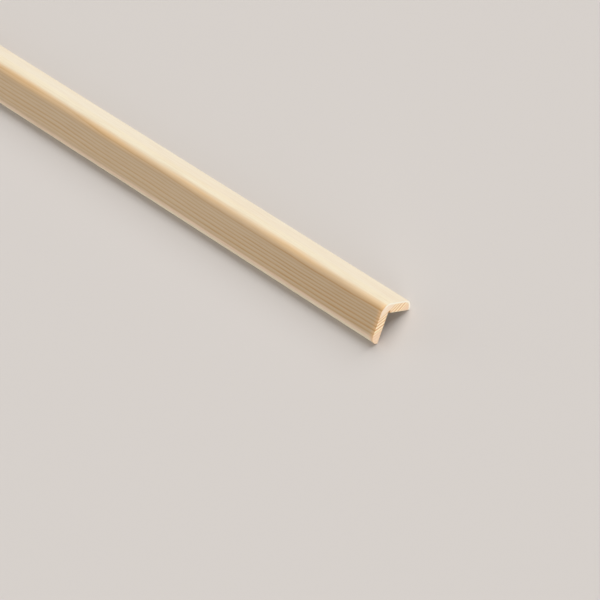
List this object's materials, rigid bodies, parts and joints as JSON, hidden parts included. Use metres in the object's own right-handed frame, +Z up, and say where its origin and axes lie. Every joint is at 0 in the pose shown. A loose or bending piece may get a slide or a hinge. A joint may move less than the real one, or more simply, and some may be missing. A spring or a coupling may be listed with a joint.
{
  "type": "corner guard moulding",
  "caption": "Straight length of pine angle moulding with two equal legs, a rounded outer corner and rounded leg edges, for covering an outside corner.",
  "frame": {"origin": "centre of the underside of the bounding box, on the floor under the middle of the length", "axes": "+X along the length, towards the cut end that the picture shows, +Z up through the outer corner, +Y towards the leg with the relief cut"},
  "size_m": [0.9, 0.033, 0.021],
  "materials": {
    "pine": "planed, unfinished"
  },
  "bodies": {
    "root": {"corner_guard": "pine"}
  },
  "joints": []
}
